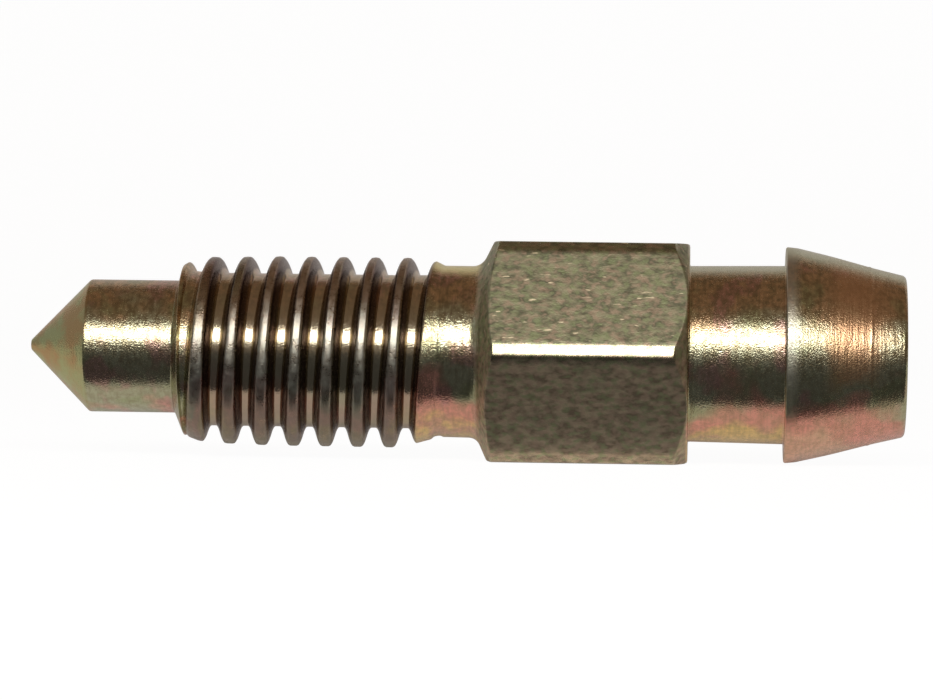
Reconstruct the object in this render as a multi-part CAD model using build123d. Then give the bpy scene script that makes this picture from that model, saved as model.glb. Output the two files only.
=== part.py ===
from build123d import *
import os
from math import atan, cos, degrees, radians, tan

# Millimetres and degrees. The axis of the screw lies along X, with the sealing cone towards -X and the
# nipple towards +X. Every place is measured along X from the start of the thread.

# Sealing cone and the plain pilot that carries it
seat_angle = 91.0
seat_tip_diameter = 0.30
pilot_diameter = 4.13
pilot_length = 2.54

# Rolled thread, coarse six millimetre, with the lean of a left-hand one
thread_diameter = 5.94
thread_pitch = 1.0
flank_angle = 60.0
crest_width = 0.20
root_width = 0.126
thread_start = 0.345
full_crest_end = 7.45
groove_overrun = 0.895
groove_fade_turns = 0.5
groove_fade_margin = 0.09
cutter_share_of_crest = 0.8

# Run-in and run-out of the blank that the thread is rolled on
lead_shoulder_length = 0.36
lead_taper_length = 0.74
lead_step = 0.27
runout_length = 1.05
neck_length = 0.78
neck_step = 0.30

# Hexagon
across_flats = 6.82
hex_corner_diameter = 7.64
hex_length = 6.85
neck_fillet = 0.42
underside_angle = 24.0
top_chamfer_angle = 43.0
top_chamfer_inset = 0.05

# Barbed nipple that the bleed hose is pushed over
nipple_neck_diameter = 5.46
nipple_neck_flare = 0.08
nipple_neck_length = 2.97
barb_diameter = 6.71
barb_land = 0.36
barb_land_drop = 0.06
barb_length = 3.725
nose_diameter = 5.05
edge_break = 0.10

# Fluid passage
bore_diameter = 2.0
bore_mouth_chamfer = 0.25
drill_point_angle = 118.0
bore_overrun = 0.10
cross_hole_diameter = 1.5
cut_clearance = 0.5

# Places and depths that follow from the sizes above
cone_length = (pilot_diameter - seat_tip_diameter) / 2 / tan(radians(seat_angle / 2))
tip = -pilot_length - cone_length
cross_hole_place = -pilot_length / 2
lead_taper_end = lead_shoulder_length + lead_taper_length
neck_start = full_crest_end + runout_length
hex_underside = neck_start + neck_length
hex_end = hex_underside + hex_length
barb_start = hex_end + nipple_neck_length
nose_end = barb_start + barb_length
thread_depth = (thread_pitch - crest_width - root_width) / 2 / tan(radians(flank_angle / 2))
root_radius = thread_diameter / 2 - thread_depth


def lathe(outline):
    """Turn a closed outline of places along X and radii along Y about the axis, with its seam at -Z."""
    return Rot(-90, 0, 0) * revolve(make_face(outline), axis=Axis.X)


def outer_form():
    """The turned blank from tip to nose. Its round collar leaves the hexagon's corners blunt."""
    pilot = pilot_diameter / 2
    crest = thread_diameter / 2
    neck = crest - neck_step
    front = Polyline(
        (tip, 0),
        (tip, seat_tip_diameter / 2),
        (-pilot_length, pilot),
        (0, pilot),
        (lead_shoulder_length, crest - lead_step),
        (lead_taper_end, crest),
        (full_crest_end, crest),
        (neck_start, neck),
        (hex_underside, neck),
    )
    fillet_sweep = 90 - underside_angle
    blend = CenterArc((hex_underside, neck + neck_fillet), neck_fillet, -90, fillet_sweep)
    collar = hex_corner_diameter / 2
    underside = blend @ 1
    under_rise = (collar - underside.Y) * tan(radians(underside_angle))
    top_circle = across_flats / 2 - top_chamfer_inset
    top_fall = (collar - top_circle) * tan(radians(top_chamfer_angle))
    nipple_root = nipple_neck_diameter / 2
    nipple_far = (nipple_neck_diameter + nipple_neck_flare) / 2
    barb = barb_diameter / 2
    nose = nose_diameter / 2
    back = Polyline(
        underside,
        (underside.X + under_rise, collar),
        (hex_end - top_fall, collar),
        (hex_end, top_circle),
        (hex_end, nipple_root),
        (barb_start, nipple_far),
        (barb_start, barb - edge_break),
        (barb_start + edge_break, barb),
        (barb_start + barb_land, barb - barb_land_drop / 2),
        (nose_end - edge_break, nose),
        (nose_end, nose - edge_break),
        (nose_end, 0),
        (tip, 0),
    )
    return lathe(front + blend + back)


def hexagon_waste():
    """All that the collar has outside the hexagon. A corner points to -Y and flats face up and down."""
    section = RegularPolygon(across_flats / 2, 6, major_radius=False)
    waste = Plane.YZ.offset(hex_underside) * (Circle(across_flats) - section)
    return extrude(waste, hex_length + cut_clearance)


def helix_leg(after, turns, first_radius, last_radius):
    """A left-hand stretch of helix about Z, some turns after its start, its radius changing evenly."""
    length = turns * thread_pitch
    slope = atan((last_radius - first_radius) / length)
    leg = Helix(
        pitch=thread_pitch / cos(slope),
        height=length,
        radius=first_radius,
        center=(0, 0, after * thread_pitch),
        cone_angle=degrees(slope),
        lefthand=True,
    )
    return leg.rotate(Axis.Z, -360 * after)


def groove_cutter(path):
    """The groove's section at full depth, swept along a path about Z that starts over +X."""
    flank = tan(radians(flank_angle / 2))
    foot = root_width / 2
    reach = thread_depth + cutter_share_of_crest * crest_width / 2 / flank
    mouth = foot + reach * flank
    section = make_face(Polyline(
        (root_radius, 0, -foot),
        (root_radius, 0, foot),
        (root_radius + reach, 0, mouth),
        (root_radius + reach, 0, -mouth),
        close=True,
    )).face()
    if section.normal_at().Y < 0:
        section = -section
    return sweep(section, path=path, is_frenet=True)


def thread_groove():
    """Cutters for the helical groove, about a turn each. The last rises out, and turned over it leads in."""
    groove_length = full_crest_end + groove_overrun - thread_start
    middle_turns = round(groove_length / thread_pitch - 2 * groove_fade_turns) - 2
    raised = thread_diameter / 2 - min(lead_step, neck_step) + groove_fade_margin
    full_leg = helix_leg(0, 1, root_radius, root_radius)
    rising_leg = helix_leg(1, groove_fade_turns, root_radius, raised)
    one_turn = groove_cutter(full_leg)
    rising = groove_cutter(Wire([full_leg, rising_leg]))
    cutters = [Rot(180, 0, 0) * rising]
    for turn in range(middle_turns):
        cutters.append(Pos(0, 0, turn * thread_pitch) * one_turn)
    cutters.append(Pos(0, 0, middle_turns * thread_pitch) * rising)
    middle_start = thread_start + (groove_fade_turns + 1) * thread_pitch
    place = Pos(middle_start, 0, 0) * Rot(-360 * groove_fade_turns, 0, 0) * Rot(0, 90, 0)
    return [place * cutter for cutter in cutters]


def fluid_passage():
    """The blind bore from the nose, its drill point, and the hole that meets it from the back."""
    bore = bore_diameter / 2
    bore_end = cross_hole_place - cross_hole_diameter / 2 - bore_overrun
    point = bore / tan(radians(drill_point_angle / 2))
    long_bore = lathe(Polyline(
        (bore_end - point, 0),
        (bore_end, bore),
        (nose_end - bore_mouth_chamfer, bore),
        (nose_end, bore + bore_mouth_chamfer),
        (nose_end + cut_clearance, bore + bore_mouth_chamfer),
        (nose_end + cut_clearance, 0),
        close=True,
    ))
    reach = pilot_diameter / 2 + cut_clearance
    side = Plane.XZ * Pos(cross_hole_place, 0) * Circle(cross_hole_diameter / 2)
    side_hole = extrude(side, -reach)
    return long_bore + side_hole


bleeder_screw = outer_form() - hexagon_waste() - thread_groove() - fluid_passage()
os.makedirs("parts", exist_ok=True)
export_step(bleeder_screw, "parts/bleeder_screw.step")
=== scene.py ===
import bmesh
import bpy
import numpy as np
from mathutils import Matrix


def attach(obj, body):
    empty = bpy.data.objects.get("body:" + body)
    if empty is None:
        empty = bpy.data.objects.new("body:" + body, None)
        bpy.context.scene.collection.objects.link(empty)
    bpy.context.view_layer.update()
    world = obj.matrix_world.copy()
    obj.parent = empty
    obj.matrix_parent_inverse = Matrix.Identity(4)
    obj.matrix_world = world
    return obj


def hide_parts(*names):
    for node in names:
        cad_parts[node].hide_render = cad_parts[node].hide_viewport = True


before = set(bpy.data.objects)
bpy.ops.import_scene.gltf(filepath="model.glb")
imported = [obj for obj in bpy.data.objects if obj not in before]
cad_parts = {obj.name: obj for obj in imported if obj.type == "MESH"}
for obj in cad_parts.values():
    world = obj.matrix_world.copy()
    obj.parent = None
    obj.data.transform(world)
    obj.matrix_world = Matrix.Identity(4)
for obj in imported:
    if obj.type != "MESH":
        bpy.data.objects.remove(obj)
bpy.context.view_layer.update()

# The camera stands almost level with the screw and a little to the nipple's side, with a long lens.
# It is rolled slightly, so that the nipple's end of the screw comes out lower in the picture.
picture_width = 933
focal_pixels = 4750.0
sensor_width = 36.0
nearest_seen = 0.005
camera_distance = 0.148
azimuth, elevation, roll = np.radians((2.9, 0.6, 0.78))
target = np.array((0.00921, 0.0, 0.000020))
back = np.array((
    np.sin(azimuth) * np.cos(elevation),
    -np.cos(azimuth) * np.cos(elevation),
    np.sin(elevation),
))
level = np.cross(-back, (0.0, 0.0, 1.0))
level /= np.linalg.norm(level)
upright = np.cross(level, -back)
across = np.cos(roll) * level + np.sin(roll) * upright
up = -np.sin(roll) * level + np.cos(roll) * upright
camera = bpy.data.objects.new("camera", bpy.data.cameras.new("camera"))
bpy.context.collection.objects.link(camera)
camera.data.sensor_width = sensor_width
camera.data.lens = focal_pixels * sensor_width / picture_width
camera.data.clip_start = nearest_seen
camera_place = target + back * camera_distance
camera_turn = Matrix(np.column_stack((across, up, back)).tolist())
camera.matrix_world = Matrix.Translation(camera_place.tolist()) @ camera_turn.to_4x4()
bpy.context.scene.camera = camera
bpy.context.scene.view_settings.view_transform = "Standard"

# The screw itself is turned from one steel bar, so it is one closed surface. The lathe left the cone,
# the pilot, the necks and the barb, the hexagon is the drawn bar's own, and the thread was rolled on.
# Places run along X from the start of the thread, in millimetres, and angle 0 is the underside.
mm = 0.001
across_flats = 6.82
crown_distance, crown_tilt = 3.765, np.radians(10.0)
under_crown_distance, under_crown_tilt = 3.685, np.radians(-18.0)
upper_crown_distance, upper_crown_tilt = 3.83, np.radians(-3.0)
upper_crown_sector = 3
crown_softness = 0.025
pitch = 1.0
thread_start = 0.345
root_radius = 2.386
root_half_width, root_half_width_change = 0.165, 0.03
crest_softness = 0.40
root_softness = 0.26
groove_turns = 8.0
fade_turns = 0.5
fade_lift = 0.404
flank_slope = 1 / np.tan(np.radians(15.0))
thread_from = 0.50
thread_to = 8.52
neck_radius = 2.67
lead_in_bulge, top_loss = 0.09, 0.03
fall_middle, fall_shift = 8.03, 0.25
fall_half_width, fall_side_gain, fall_top_loss = 0.60, 0.15, 0.34


def angle_columns():
    """Angles about the axis from a corner round to the same corner, closer together beside each corner."""
    half_sector = np.array((
        4.5, 9.0, 13.5, 18.0, 21.0, 23.0, 24.4, 25.2, 25.8, 26.3, 27.0, 27.8, 28.4, 29.1,
    ))
    sector = np.concatenate(((-30.0,), -half_sector[::-1], (0.0,), half_sector))
    turns = np.arange(6)[:, None] * 60.0 + sector[None, :]
    return np.radians(np.append(turns.ravel(), 330.0))


def softer_minimum(a, b, softness):
    """The smaller of two values, with the crossing rounded by a parabola as wide as the softness."""
    near = np.maximum(softness - np.abs(a - b), 0.0)
    return np.minimum(a, b) - near ** 2 / (4 * softness)


def hexagon_radius(angle):
    """Distance to the nearer flat along the angle, or where closer to the corner's two worn strips.

    A flat or strip at distance d, whose normal is at angle n, lies at d / cos(angle - n). The upper corner on
    the camera's side is worn to one strip only.
    """
    off_middle = (angle + np.pi / 6) % (np.pi / 3) - np.pi / 6
    off_corner = angle % (np.pi / 3) - np.pi / 6
    sector = np.floor(angle / (np.pi / 3)) % 6
    flat = across_flats / 2 / np.cos(off_middle)
    strip = crown_distance / np.cos(off_corner + crown_tilt)
    under_strip = under_crown_distance / np.cos(off_corner + under_crown_tilt)
    upper_strip = upper_crown_distance / np.cos(off_corner + upper_crown_tilt)
    worn_corner = softer_minimum(strip, under_strip, crown_softness)
    worn_corner = np.where(sector == upper_crown_sector, upper_strip, worn_corner)
    return softer_minimum(flat, worn_corner, crown_softness)


def blank_radius(along, angle):
    """Radius the thread was rolled on: a lead-in, a long slow rise, and a straight fall to the neck.

    With the cosine of the angle the lead-in is larger below, and the body behind it smaller on top. The fall
    comes sooner below than on top, and is shortest on top.
    """
    body = np.interp(along, (0.37, 0.9, 1.3, 3.2, 7.2), (2.66, 2.90, 2.93, 2.985, 2.99))
    body = body + lead_in_bulge * np.cos(angle) * np.clip((0.9 - along) / 0.53, 0.0, 1.0)
    body = body - top_loss * (1 - np.cos(angle)) * np.clip((along - 0.9) / 0.5, 0.0, 1.0)
    middle = fall_middle - fall_shift * np.cos(angle)
    half_width = fall_half_width + fall_side_gain * np.sin(angle) ** 2
    half_width = half_width - fall_top_loss * np.maximum(-np.cos(angle), 0.0) ** 2
    fall = np.clip((along - middle) / (2 * half_width) + 0.5, 0.0, 1.0)
    return body + (neck_radius - body) * fall


def threaded_radius(along, angle):
    """The smaller of the blank's radius and the radius in a left-hand groove, which fades at both ends.

    In the groove it is the root's radius, a lift where the groove fades, and the flank's slope times the
    distance beyond the root's half width. The root narrows with the cosine of the angle, so the teeth are
    wider below than on top.
    """
    turns = -angle / (2 * np.pi)
    strand = np.round((along - thread_start) / pitch - turns) + turns
    off_centre = np.abs(along - thread_start - strand * pitch)
    fade = np.maximum(0.0, np.maximum(fade_turns - strand, strand - groove_turns + fade_turns) / fade_turns)
    flank = (off_centre - root_half_width + root_half_width_change * np.cos(angle)) * flank_slope
    rise = -softer_minimum(-flank, np.zeros_like(flank), root_softness)
    groove = root_radius + fade_lift * fade + rise
    return softer_minimum(groove, blank_radius(along, angle), crest_softness)


def thread_rows(angle):
    """Rows that run along the helix, held between the two plain circles where the thread zone ends.

    A row starts at a whole number of pitches and a share, and falls back by one pitch over one turn.
    """
    half_pitch = np.array((
        0.05, 0.08, 0.105, 0.125, 0.145, 0.165, 0.185, 0.205,
        0.225, 0.245, 0.265, 0.285, 0.305, 0.325, 0.35, 0.41,
    ))
    phase = np.concatenate((-half_pitch[::-1], (0.0,), half_pitch, (0.5,)))
    starts = thread_start + pitch * (np.arange(-1, 11)[:, None] + phase[None, :])
    along = starts.ravel()[:, None] - pitch * angle[None, :] / (2 * np.pi)
    along = np.clip(along, thread_from, thread_to)
    return along, threaded_radius(along, np.broadcast_to(angle, along.shape))


def rounded_rows(corners, columns):
    """Rows along a profile of corners, each a place along the axis, a radius and the length of its break.

    A broken corner is a parabola in five rows, which starts that length before it and ends as far behind.
    """
    spots = np.array([[np.broadcast_to(v, columns) for v in corner[:2]] for corner in corners])
    rows = [spots[:1]]
    for before, spot, after, corner in zip(spots[:-2], spots[1:-1], spots[2:], corners[1:-1]):
        if corner[2] == 0:
            rows.append(spot[None])
            continue
        arrive = (before - spot) / np.linalg.norm(before - spot, axis=0)
        leave = (after - spot) / np.linalg.norm(after - spot, axis=0)
        share = np.linspace(0.0, 1.0, 5)[:, None, None]
        rows.append(spot + corner[2] * (arrive * (1 - share) ** 2 + leave * share ** 2))
    rows.append(spots[-1:])
    return np.concatenate(rows)


angle = angle_columns()
columns = len(angle)
hexagon = hexagon_radius(angle)

# In front of the thread come the cone with its blunt tip, the pilot and the lead-in shoulder, which is
# steeper on top than below.
tip, cone_base = -4.422, -2.54
tip_radius, pilot_radius = 0.15, 2.065
shoulder_foot = 0.20 - 0.05 * np.cos(angle)
shoulder = 0.41 + 0.04 * np.cos(angle)
front = rounded_rows((
    (tip, 0.0, 0),
    (tip, tip_radius, 0.05),
    (cone_base, pilot_radius, 0.05),
    (shoulder_foot, pilot_radius, 0.05),
    (shoulder, blank_radius(shoulder, angle), 0.04),
    (thread_from, threaded_radius(np.full(columns, thread_from), angle), 0),
), columns)
along_thread, radius_thread = thread_rows(angle)
thread = np.stack((along_thread, radius_thread), axis=1)

# Behind the thread come the neck with its fillet, the hexagon, whose underside leans a little, the nipple's
# neck, the barb with a narrow land and a turned ring near its nose, and back inside it the blind bore.
hex_underside, hex_end = 9.28, 16.13
lean, chamfer_inset = 0.025, 0.05
neck_fillet, underside_angle, chamfer_angle = 0.42, np.radians(24.0), np.radians(43.0)
barb_start, nose_end = 19.10, 22.825
bore_radius, bore_end, drill_point = 1.0, -2.12, -2.721
sweep = np.linspace(-np.pi / 2, -underside_angle, 8)
fillet_along = hex_underside + neck_fillet * np.cos(sweep)
fillet_radius = neck_radius + neck_fillet * (1 + np.sin(sweep))
underside_at = fillet_along[-1] + (hexagon - fillet_radius[-1]) * np.tan(underside_angle)
top_circle = across_flats / 2 - chamfer_inset
chamfer_at = hex_end - (hexagon - top_circle) * np.tan(chamfer_angle)
back_corners = [(thread_to, threaded_radius(np.full(columns, thread_to), angle), 0)]
back_corners += [(a + lean * r * (1 - np.cos(angle)), r, 0) for a, r in zip(fillet_along, fillet_radius)]
back_corners += [
    (underside_at + lean * hexagon * (1 - np.cos(angle)), hexagon, 0.06),
    (chamfer_at, hexagon, 0.05),
    (hex_end, top_circle, 0.04),
    (hex_end, 2.73, 0.06),
    (barb_start, 2.77, 0.05),
    (barb_start, 3.315, 0.03),
    (19.14, 3.355, 0.03),
    (19.46, 3.325, 0.08),
    (20.50, 3.085, 0.30),
    (21.64, 2.778, 0.03),
    (21.70, 2.776, 0.02),
    (21.79, 2.738, 0.04),
    (22.75, 2.51, 0.04),
    (nose_end, 2.43, 0.04),
    (nose_end, 1.25, 0.03),
    (22.575, bore_radius, 0.03),
    (bore_end, bore_radius, 0.03),
    (drill_point, 0.0, 0),
]
back_rows = rounded_rows(back_corners, columns)

# The thread and the neck behind it sit a hair lower than the rest. The grid of rows and columns is welded
# at its seam and at its two ends on the axis.
sag = 0.060
weld = 0.0002 * mm
profile = np.concatenate((front, thread, back_rows))
along, radius = profile[:, 0], profile[:, 1]
low = sag * np.interp(along, (0.5, 1.2, 7.4, 8.5, 9.3, 9.8), (0.0, 1.0, 1.0, 0.68, 0.68, 0.0))
points = np.stack((along, radius * np.sin(angle), -radius * np.cos(angle) - low), axis=-1) * mm
rows = len(along)
corner = (np.arange(rows - 1)[:, None] * columns + np.arange(columns - 1)[None, :]).ravel()
quads = np.stack((corner, corner + 1, corner + columns + 1, corner + columns), axis=1)
mesh = bpy.data.meshes.new("screw_body")
mesh.from_pydata(points.reshape(-1, 3).tolist(), [], quads.tolist())
skin = bmesh.new()
skin.from_mesh(mesh)
bmesh.ops.remove_doubles(skin, verts=skin.verts, dist=weld)
bmesh.ops.dissolve_degenerate(skin, edges=skin.edges, dist=weld)
skin.to_mesh(mesh)
skin.free()
mesh.shade_smooth()
screw = bpy.data.objects.new("screw_body", mesh)
bpy.context.collection.objects.link(screw)

# One hole is drilled across the pilot, on the side away from the camera, and meets the bore. The drill is
# round about Y, and flares at the pilot's skin to break the hole's edge.
hole_radius = 0.75
hole_at = -1.27
drill_end, flare_start, flare_end, flare_radius = 0.3, 1.99, 2.3, 0.98
sharp_edge = np.radians(38.0)
hole_angle = np.linspace(0.0, 2 * np.pi, 65)
hole_profile = np.array((
    (drill_end, 0.0),
    (drill_end, hole_radius),
    (flare_start, hole_radius),
    (flare_end, flare_radius),
    (flare_end, 0.0),
))
hole_rows, hole_columns = len(hole_profile), len(hole_angle)
hole_points = np.stack((
    hole_at + hole_profile[:, 1, None] * np.cos(hole_angle),
    np.broadcast_to(hole_profile[:, 0, None], (hole_rows, hole_columns)),
    hole_profile[:, 1, None] * np.sin(hole_angle),
), axis=-1) * mm
hole_mesh = bpy.data.meshes.new("hole_cutter")
corner = (np.arange(hole_rows - 1)[:, None] * hole_columns + np.arange(hole_columns - 1)).ravel()
quads = np.stack((corner, corner + hole_columns, corner + hole_columns + 1, corner + 1), axis=1)
hole_mesh.from_pydata(hole_points.reshape(-1, 3).tolist(), [], quads.tolist())
drill = bmesh.new()
drill.from_mesh(hole_mesh)
bmesh.ops.remove_doubles(drill, verts=drill.verts, dist=weld)
bmesh.ops.recalc_face_normals(drill, faces=drill.faces)
drill.to_mesh(hole_mesh)
drill.free()
cutter = bpy.data.objects.new("hole_cutter", hole_mesh)
bpy.context.collection.objects.link(cutter)
cut = screw.modifiers.new("cross_hole", "BOOLEAN")
cut.operation = "DIFFERENCE"
cut.solver = "EXACT"
cut.object = cutter
bpy.context.view_layer.update()
drilled = bpy.data.meshes.new_from_object(screw.evaluated_get(bpy.context.evaluated_depsgraph_get()))
screw.modifiers.clear()
screw.data = drilled
bpy.data.objects.remove(cutter)
drilled.shade_smooth()
drilled.set_sharp_from_angle(angle=sharp_edge)
even = screw.modifiers.new("even_normals", "WEIGHTED_NORMAL")
even.keep_sharp = True
even.weight = 80

# Zinc plating under a thin yellow chromate film. Its interference colours drift from olive and khaki to
# green, gold and pink, and the steel's turning marks and the drawn bar's grain show through it.
plating = bpy.data.materials.new("yellow_chromate")
plating.use_nodes = True
nodes, links = plating.node_tree.nodes, plating.node_tree.links
shader = nodes["Principled BSDF"]
shader.inputs["Metallic"].default_value = 1.0
place = nodes.new("ShaderNodeTexCoord")


def noise(name, size_mm, stretch=(1.0, 1.0, 1.0), detail=2.0, roughness=0.5):
    """Noise on Object coordinates, with features of about the given size, drawn out along an axis."""
    mapping = nodes.new("ShaderNodeMapping")
    mapping.inputs["Scale"].default_value = tuple(1.0 / (size_mm * mm * s) for s in stretch)
    links.new(place.outputs["Object"], mapping.inputs["Vector"])
    node = nodes.new("ShaderNodeTexNoise")
    node.name = name
    node.inputs["Scale"].default_value = 1.0
    node.inputs["Detail"].default_value = detail
    node.inputs["Roughness"].default_value = roughness
    links.new(mapping.outputs["Vector"], node.inputs["Vector"])
    return node.outputs["Fac"]


def ramp(value, low, high, first=0.0, last=1.0):
    """A value moved from the range low to high onto the range first to last, and held there."""
    node = nodes.new("ShaderNodeMapRange")
    node.inputs["From Min"].default_value = low
    node.inputs["From Max"].default_value = high
    node.inputs["To Min"].default_value = first
    node.inputs["To Max"].default_value = last
    links.new(value, node.inputs["Value"])
    return node.outputs["Result"]


def arithmetic(operation, first, second):
    """Two values, either of them a plain number, put through one arithmetic operation."""
    node = nodes.new("ShaderNodeMath")
    node.operation = operation
    for socket, value in zip(node.inputs, (first, second)):
        if isinstance(value, (int, float)):
            socket.default_value = value
        else:
            links.new(value, socket)
    return node.outputs["Value"]


def blend_colour(share, first, second):
    """A colour between two, each given as three numbers or as the colour of an earlier blend."""
    node = nodes.new("ShaderNodeMix")
    node.data_type = "RGBA"
    links.new(share, node.inputs["Factor"])
    for socket, value in zip((node.inputs[6], node.inputs[7]), (first, second)):
        if isinstance(value, tuple):
            socket.default_value = (*value, 1.0)
        else:
            links.new(value, socket)
    return node.outputs[2]


split = nodes.new("ShaderNodeSeparateXYZ")
links.new(place.outputs["Object"], split.inputs["Vector"])
along_axis, above_axis = split.outputs["X"], split.outputs["Z"]
off_axis = nodes.new("ShaderNodeVectorMath")
off_axis.operation = "MULTIPLY"
off_axis.inputs[1].default_value = (0.0, 1.0, 1.0)
links.new(place.outputs["Object"], off_axis.inputs[0])
reach = nodes.new("ShaderNodeVectorMath")
reach.operation = "LENGTH"
links.new(off_axis.outputs["Vector"], reach.inputs[0])
from_axis = reach.outputs["Value"]


def between(value, rise, fall):
    """One inside a range and nothing outside, with each end given as where it starts and where it is done."""
    return arithmetic(
        "MULTIPLY",
        ramp(value, rise[0] * mm, rise[1] * mm),
        ramp(value, fall[0] * mm, fall[1] * mm, 1.0, 0.0),
    )


# The zones of the screw, by their places along the axis and their distance from it. The thread's end leans,
# because the groove runs out later on top.
in_hexagon = between(along_axis, (9.55, 9.75), (16.05, 16.12))
leaning = arithmetic("SUBTRACT", along_axis, arithmetic("MULTIPLY", above_axis, 0.10))
in_thread = between(leaning, (0.75, 0.95), (7.85, 8.00))
on_flank = arithmetic("MULTIPLY", in_thread, between(from_axis, (2.43, 2.52), (2.80, 2.90)))
on_crest = arithmetic("MULTIPLY", in_thread, ramp(from_axis, 2.82 * mm, 2.90 * mm))
on_root = arithmetic("MULTIPLY", in_thread, ramp(from_axis, 2.50 * mm, 2.44 * mm))
worn = ramp(from_axis, 3.74 * mm, 3.80 * mm)
on_nose = between(along_axis, (20.2, 20.8), (21.5, 22.7))
on_neck = between(along_axis, (8.3, 8.5), (9.3, 9.5))
on_land = arithmetic(
    "MULTIPLY",
    between(along_axis, (19.00, 19.10), (19.30, 19.60)),
    ramp(from_axis, 3.0 * mm, 3.1 * mm),
)

# The film on the turned parts is gold above, olive in the middle and pink below, and lowest of all yellow,
# or tan on the barb. These bands by height are a painted sheen, standing for the film's colour shift with the
# angle of view. Its borders wander, and it has green and rosy patches, which are its own.
olive, gold, pink = (0.54, 0.53, 0.36), (0.68, 0.46, 0.27), (0.82, 0.40, 0.31)
low_yellow, low_tan = (0.84, 0.61, 0.27), (0.80, 0.50, 0.35)
green, rose = (0.44, 0.47, 0.26), (0.64, 0.33, 0.31)
wander = arithmetic("MULTIPLY", arithmetic("SUBTRACT", noise("wander", 2.4, detail=3.0), 0.5), 5.0 * mm)
height_on_part = arithmetic("ADD", above_axis, wander)
past_gold = arithmetic(
    "SUBTRACT", height_on_part, ramp(along_axis, 8.0 * mm, 16.0 * mm, 0.85 * mm, 0.65 * mm),
)
tip_side = arithmetic(
    "SUBTRACT",
    ramp(along_axis, 1.2 * mm, 0.8 * mm, 0.0, 2.0 * mm),
    ramp(along_axis, 0.3 * mm, 0.05 * mm, 0.0, 1.2 * mm),
)
near_floor = arithmetic("ADD", height_on_part, tip_side)
patches = noise("patches", 1.5, stretch=(0.8, 1.0, 1.0), detail=3.0)
colour = blend_colour(ramp(past_gold, 0.0, 0.5 * mm), olive, gold)
colour = blend_colour(ramp(near_floor, -1.0 * mm, -1.5 * mm), colour, pink)
lowest_film = blend_colour(ramp(along_axis, 19.0 * mm, 19.1 * mm), low_yellow, low_tan)
colour = blend_colour(ramp(near_floor, -2.1 * mm, -2.6 * mm), colour, lowest_film)
green_film = arithmetic(
    "MULTIPLY",
    ramp(patches, 0.54, 0.64, 0.0, 0.75),
    ramp(near_floor, -1.7 * mm, -0.9 * mm, 0.25, 1.0),
)
pink_film = arithmetic(
    "MULTIPLY",
    ramp(patches, 0.45, 0.37, 0.0, 0.65),
    ramp(along_axis, 21.9 * mm, 21.6 * mm),
)
colour = blend_colour(green_film, colour, green)
colour = blend_colour(pink_film, colour, rose)

# A fine dark mottle and the lathe's rings lie over it, stronger above. The nose is copper and the barb's land
# is rubbed grey. The topmost film of the necks and the barb is painted pale, a painted reflection of the
# backdrop.
dark_mottle, dark_ring, copper, rubbed_grey = (
    (0.26, 0.20, 0.11), (0.28, 0.22, 0.12), (0.68, 0.38, 0.21), (0.46, 0.45, 0.41),
)
rim_reflection_yellow, rim_reflection_grey = (0.84, 0.72, 0.30), (0.59, 0.58, 0.41)
mottle = noise("mottle", 0.20, stretch=(0.8, 1.0, 1.0), detail=2.0, roughness=0.6)
rings = noise("rings", 0.09, stretch=(1.0, 14.0, 14.0), detail=2.0, roughness=0.6)
upper_side = ramp(above_axis, -0.9 * mm, 0.3 * mm, 0.45, 1.0)
mottling = arithmetic("MULTIPLY", upper_side, ramp(mottle, 0.62, 0.36, 0.0, 0.75))
colour = blend_colour(mottling, colour, dark_mottle)
ringing = arithmetic("MULTIPLY", upper_side, ramp(rings, 0.55, 0.34, 0.0, 0.45))
colour = blend_colour(ringing, colour, dark_ring)
copper_share = arithmetic("MULTIPLY", on_nose, ramp(height_on_part, -0.9 * mm, 0.0, 0.0, 0.7))
colour = blend_colour(copper_share, colour, copper)
land_share = arithmetic("MULTIPLY", on_land, ramp(above_axis, -1.9 * mm, -0.6 * mm, 0.0, 0.5))
colour = blend_colour(land_share, colour, rubbed_grey)
round_side = arithmetic("DIVIDE", above_axis, from_axis)
# Painted reflection: the pale rim along the top of the round parts stands for the white backdrop seen at a
# grazing angle.
painted_rim_reflection = blend_colour(ramp(along_axis, 9.0 * mm, 16.5 * mm), rim_reflection_yellow, rim_reflection_grey)
rim_reflection_share = arithmetic("MULTIPLY", ramp(along_axis, 7.9 * mm, 8.3 * mm), ramp(round_side, 0.85, 0.95, 0.0, 0.9))
colour = blend_colour(rim_reflection_share, colour, painted_rim_reflection)

# On the thread the crests are rubbed to grey steel with scuffs and are browner above. Below they are painted
# darker as shade, for the shadowed paper they reflect. The roots keep a tan film, and the flanks are painted
# dark as shade in the grooves. The cone has patches of its own.
crest_grey, crest_shaded_below, crest_above, scuffed_brown = (
    (0.39, 0.38, 0.34), (0.21, 0.19, 0.155), (0.36, 0.27, 0.21), (0.25, 0.19, 0.15),
)
root_tan, flank_painted_shade = (0.48, 0.41, 0.30), (0.10, 0.055, 0.045)
cone_brown, cone_olive = (0.54, 0.36, 0.17), (0.49, 0.49, 0.24)
# Painted shade: the crests darken below for the shadowed paper under the screw that they reflect.
crest_film = blend_colour(ramp(above_axis, -0.9 * mm, -1.9 * mm), crest_grey, crest_shaded_below)
crest_film = blend_colour(ramp(above_axis, 1.1 * mm, 1.7 * mm), crest_film, crest_above)
scuffs = noise("scuffs", 0.30, detail=3.0, roughness=0.6)
crest_film = blend_colour(ramp(scuffs, 0.60, 0.36, 0.0, 0.6), crest_film, scuffed_brown)
colour = blend_colour(arithmetic("MULTIPLY", on_crest, 0.8), colour, crest_film)
root_share = arithmetic("MULTIPLY", on_root, ramp(above_axis, 1.1 * mm, 1.8 * mm, 0.75, 0.35))
colour = blend_colour(root_share, colour, root_tan)
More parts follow.
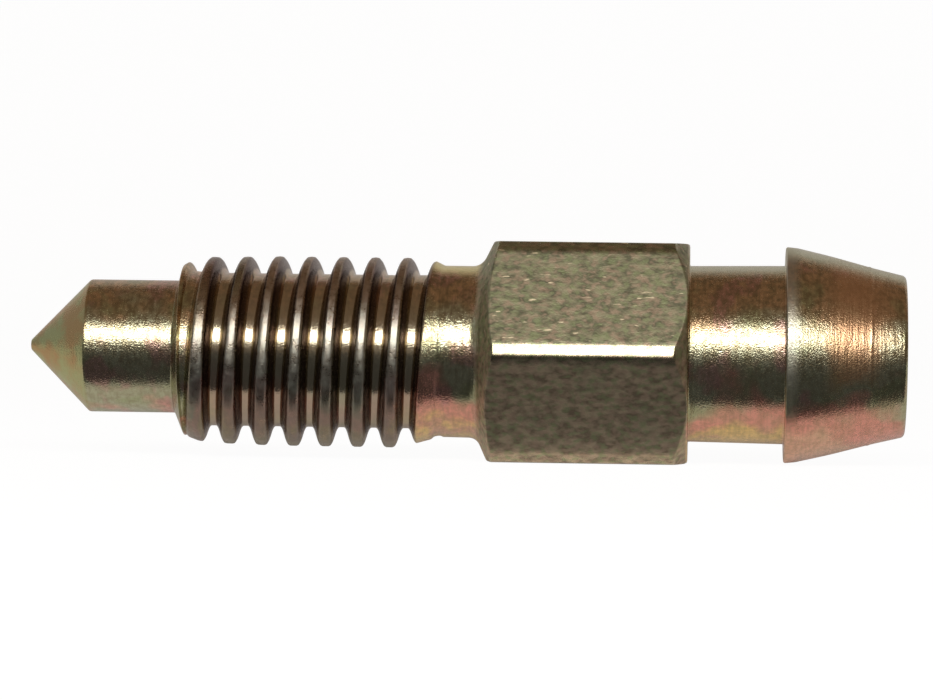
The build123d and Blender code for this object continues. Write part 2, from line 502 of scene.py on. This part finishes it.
# Painted shade: the flanks between crest and root are darkened as shade in the grooves.
colour = blend_colour(arithmetic("MULTIPLY", on_flank, 0.95), colour, flank_painted_shade)
cone_patches = noise("cone_patches", 0.9, detail=3.0, roughness=0.6)
cone_film = blend_colour(ramp(cone_patches, 0.40, 0.60), cone_brown, cone_olive)
colour = blend_colour(ramp(along_axis, -2.45 * mm, -2.60 * mm), colour, cone_film)

# The hexagon keeps the drawn bar's grain, khaki above and browner below, with fine green and tan tints. Its
# upper faces are also painted darker than the lower ones as shade, and short bright painted glints lie on
# them.
shaded_dark_khaki, shaded_light_khaki = (0.205, 0.20, 0.13), (0.44, 0.405, 0.265)
dark_brown, light_brown = (0.31, 0.24, 0.165), (0.61, 0.49, 0.335)
patch_green, tint_green, tint_tan = (0.40, 0.46, 0.28), (0.37, 0.42, 0.22), (0.55, 0.40, 0.29)
painted_glint_colour = (0.96, 0.84, 0.58)
grain = noise("grain", 0.21, stretch=(1.6, 1.0, 1.0), detail=2.0)
upward = ramp(above_axis, -0.4 * mm, 0.2 * mm)
# Painted shade: the upper faces' khaki is darker than the lower faces' brown, for how the light falls on
# them.
drawn_dark = blend_colour(upward, dark_brown, shaded_dark_khaki)
drawn_light = blend_colour(upward, light_brown, shaded_light_khaki)
drawn = blend_colour(ramp(grain, 0.36, 0.64), drawn_dark, drawn_light)
drawn = blend_colour(ramp(patches, 0.56, 0.62, 0.0, 0.15), drawn, patch_green)
tints = noise("tints", 0.17, stretch=(1.4, 1.0, 1.0), detail=1.0)
drawn = blend_colour(ramp(tints, 0.52, 0.68, 0.0, 0.6), drawn, tint_green)
drawn = blend_colour(ramp(tints, 0.48, 0.32, 0.0, 0.6), drawn, tint_tan)
# Painted glints: short bright streaks on the upper faces stand for sparkles of light off the bar's grain.
glint_streaks = noise("painted_glints", 0.12, stretch=(4.0, 1.0, 1.0), detail=1.0)
painted_glints = arithmetic("MULTIPLY", upward, ramp(glint_streaks, 0.70, 0.75))
drawn = blend_colour(painted_glints, drawn, painted_glint_colour)
colour = blend_colour(in_hexagon, colour, drawn)
links.new(colour, shader.inputs["Base Color"])

# Relief: lathe rings and speckle on the turned parts, deeper on the nose and fainter in the rolled roots,
# and the bar's grain on the hexagon, nearly gone along its worn corners.
mark_depth, mark_strength = 0.02 * mm, 0.6
speckle = noise("speckle", 0.05, detail=2.0)
ring_depth = arithmetic("ADD", arithmetic("MULTIPLY", on_nose, 0.8), 0.6)
ring_marks = arithmetic("MULTIPLY", rings, ring_depth)
lathe_marks = arithmetic("ADD", ring_marks, arithmetic("MULTIPLY", speckle, 0.75))
off_root = arithmetic("SUBTRACT", 1.0, arithmetic("MULTIPLY", on_root, 0.6))
lathe_marks = arithmetic("MULTIPLY", lathe_marks, off_root)
bar_grain = noise("bar_grain", 0.12, stretch=(2.0, 1.0, 1.0), detail=2.0)
bar_marks = arithmetic("ADD", arithmetic("MULTIPLY", bar_grain, 0.6), arithmetic("MULTIPLY", speckle, 0.4))
flat_marks = arithmetic("MULTIPLY", bar_marks, arithmetic("SUBTRACT", 1.0, arithmetic("MULTIPLY", worn, 0.8)))
height = arithmetic(
    "ADD",
    arithmetic("MULTIPLY", lathe_marks, arithmetic("SUBTRACT", 1.0, in_hexagon)),
    arithmetic("MULTIPLY", flat_marks, in_hexagon),
)
bump = nodes.new("ShaderNodeBump")
bump.inputs["Distance"].default_value = mark_depth
bump.inputs["Strength"].default_value = mark_strength
links.new(height, bump.inputs["Height"])
links.new(bump.outputs["Normal"], shader.inputs["Normal"])

# Gloss: the flats are dull and their worn corners polished. The crests, the land and the nose are a little
# duller than the rest, and the rolled roots and the first neck a little glossier.
smoothest, roughest = 0.18, 0.28
dull = arithmetic("MULTIPLY", in_hexagon, arithmetic("SUBTRACT", 0.28, arithmetic("MULTIPLY", worn, 0.26)))
scuffed = arithmetic("MULTIPLY", on_crest, ramp(scuffs, 0.36, 0.62, 0.05, 0.18))
rubbed = arithmetic("ADD", scuffed, arithmetic("MULTIPLY", on_land, 0.12))
rubbed = arithmetic("SUBTRACT", rubbed, arithmetic("MULTIPLY", on_root, 0.06))
rubbed = arithmetic("ADD", rubbed, arithmetic("MULTIPLY", on_nose, 0.06))
rubbed = arithmetic("SUBTRACT", rubbed, arithmetic("MULTIPLY", on_neck, 0.04))
gloss = arithmetic("ADD", ramp(speckle, 0.3, 0.7, smoothest, roughest), arithmetic("ADD", dull, rubbed))
links.new(gloss, shader.inputs["Roughness"])
drilled.materials.clear()
drilled.materials.append(plating)
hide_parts("bleeder_screw")
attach(screw, "root")

# The studio's ground is a white paper sweep under and behind the screw. The camera sees it as white, and
# the metal sees it at about a fifth of that. It keeps the screw's faint shadow.
floor_gap = 0.003
paper_front, bend_start, bend_radius, paper_top, paper_half_width = -0.5, 0.25, 0.1, 0.42, 0.6
paper_white, paper_glow, glow_in_view, glow_in_gloss = 0.9, 1.06, 0.90, 0.208
floor_level = -(across_flats / 2 + floor_gap) * mm
bend = np.linspace(-np.pi / 2, 0.0, 13)
bend_line = (bend_start + bend_radius * np.cos(bend), floor_level + bend_radius * (1 + np.sin(bend)))
sweep_line = np.concatenate((
    ((paper_front, floor_level), (bend_start, floor_level)),
    np.stack(bend_line, axis=1),
    ((bend_start + bend_radius, paper_top),),
))
sides = np.array((-paper_half_width, paper_half_width))
paper_points = np.array([[(x, y, z) for x in sides] for y, z in sweep_line])
corner = np.arange(len(sweep_line) - 1) * 2
paper_quads = np.stack((corner, corner + 1, corner + 3, corner + 2), axis=1)
paper_mesh = bpy.data.meshes.new("paper_sweep")
paper_mesh.from_pydata(paper_points.reshape(-1, 3).tolist(), [], paper_quads.tolist())
paper_mesh.shade_smooth()
paper = bpy.data.objects.new("paper_sweep", paper_mesh)
white = bpy.data.materials.new("white_paper")
white.use_nodes = True
nodes, links = white.node_tree.nodes, white.node_tree.links
nodes.clear()
matt = nodes.new("ShaderNodeBsdfDiffuse")
matt.inputs["Color"].default_value = (paper_white, paper_white, paper_white, 1.0)
glow = nodes.new("ShaderNodeEmission")
glow.inputs["Strength"].default_value = paper_glow
ray = nodes.new("ShaderNodeLightPath")
in_view = arithmetic("MAXIMUM", ray.outputs["Is Camera Ray"], ray.outputs["Is Transmission Ray"])
in_gloss = arithmetic("MULTIPLY", ray.outputs["Is Glossy Ray"], glow_in_gloss)
mix = nodes.new("ShaderNodeMixShader")
links.new(arithmetic("ADD", arithmetic("MULTIPLY", in_view, glow_in_view), in_gloss), mix.inputs["Fac"])
links.new(matt.outputs["BSDF"], mix.inputs[1])
links.new(glow.outputs["Emission"], mix.inputs[2])
links.new(mix.outputs["Shader"], nodes.new("ShaderNodeOutputMaterial").inputs["Surface"])
paper_mesh.materials.append(white)


def unseen_card(name, near_edge, far_edge, brightness):
    """A card between two edges that only reflections see, so it casts no shadow and blocks no view."""
    card_mesh = bpy.data.meshes.new(name)
    first = np.arange(len(near_edge) - 1)
    strips = np.stack((first, first + 1, first + 1 + len(near_edge), first + len(near_edge)), axis=1)
    card_mesh.from_pydata(np.concatenate((near_edge, far_edge)).tolist(), [], strips.tolist())
    card = bpy.data.objects.new(name, card_mesh)
    surface = bpy.data.materials.new(name)
    surface.use_nodes = True
    tree = surface.node_tree
    tree.nodes.clear()
    even_glow = tree.nodes.new("ShaderNodeEmission")
    even_glow.inputs["Color"].default_value = (brightness, brightness, brightness, 1.0)
    output = tree.nodes.new("ShaderNodeOutputMaterial")
    tree.links.new(even_glow.outputs["Emission"], output.inputs["Surface"])
    card_mesh.materials.append(surface)
    card.visible_camera = False
    card.visible_diffuse = False
    card.visible_transmission = False
    card.visible_shadow = False
    return card


# Four cards shape the reflections: a dark flag on the table in front, whose edge follows the screw, a pale
# and a grey strip on the table under the hexagon, and a tall card off the sealing cone's end. The edges,
# lifts and depths on the table are in millimetres.
flag_edge = np.array((
    (-300.0, -2.5), (-0.1, -2.5), (0.3, -2.95), (9.4, -2.95), (9.6, -2.25), (16.15, -2.25),
    (16.2, -2.9), (19.0, -2.9), (19.1, -3.2), (22.8, -2.8), (300.0, -2.8),
))
flag_lift, flag_front = 0.02, -0.5
strip_lift, pale_depth, grey_depth = 0.04, 0.6, 5.0
flag_brightness, pale_brightness, grey_brightness, side_brightness = 0.058, 0.20, 0.115, 0.34
flag_level = np.full(len(flag_edge), floor_level / mm + flag_lift)
near_edge = np.column_stack((flag_edge, flag_level)) * mm
far_edge = near_edge * (1.0, 0.0, 1.0) + (0.0, flag_front, 0.0)
flag = unseen_card("dark_flag", near_edge, far_edge, flag_brightness)
strip_edge = np.array(((9.6, -2.25, strip_lift), (16.15, -2.25, strip_lift))) * mm + (0.0, 0.0, floor_level)
pale_end = strip_edge - (0.0, pale_depth * mm, 0.0)
grey_end = strip_edge - (0.0, grey_depth * mm, 0.0)
pale_strip = unseen_card("pale_strip", strip_edge, pale_end, pale_brightness)
grey_strip = unseen_card("grey_strip", pale_end, grey_end, grey_brightness)
side_at, side_front, side_back, side_level, side_height = -0.30, -0.25, 0.30, -0.003, 0.30
side_foot = np.array(((side_at, side_front, side_level), (side_at, side_back, side_level)))
side_card = unseen_card("side_card", side_foot, side_foot + (0.0, 0.0, side_height), side_brightness)
for item in (paper, flag, pale_strip, grey_strip, side_card):
    bpy.context.collection.objects.link(item)

# One wide, low soft box hangs in front above the camera, square to the screw, in a dim warm room.
box_width, box_height, box_distance = 0.345, 0.073, 0.30
box_power = 0.78
box_elevation = np.radians(22.3)
room_colour = (0.19, 0.14, 0.10, 1.0)
soft_box = bpy.data.objects.new("soft_box", bpy.data.lights.new("soft_box", "AREA"))
soft_box.data.shape = "RECTANGLE"
soft_box.data.size = box_width
soft_box.data.size_y = box_height
soft_box.data.energy = box_power
toward_box = np.array((0.0, -np.cos(box_elevation), np.sin(box_elevation)))
box_place = target + box_distance * toward_box
box_up = np.array((0.0, np.sin(box_elevation), np.cos(box_elevation)))
box_turn = Matrix(np.column_stack(((1.0, 0.0, 0.0), box_up, toward_box)).tolist())
soft_box.matrix_world = Matrix.Translation(box_place.tolist()) @ box_turn.to_4x4()
bpy.context.collection.objects.link(soft_box)

room = bpy.data.worlds.new("room")
bpy.context.scene.world = room
room.use_nodes = True
room.node_tree.nodes["Background"].inputs["Color"].default_value = room_colour
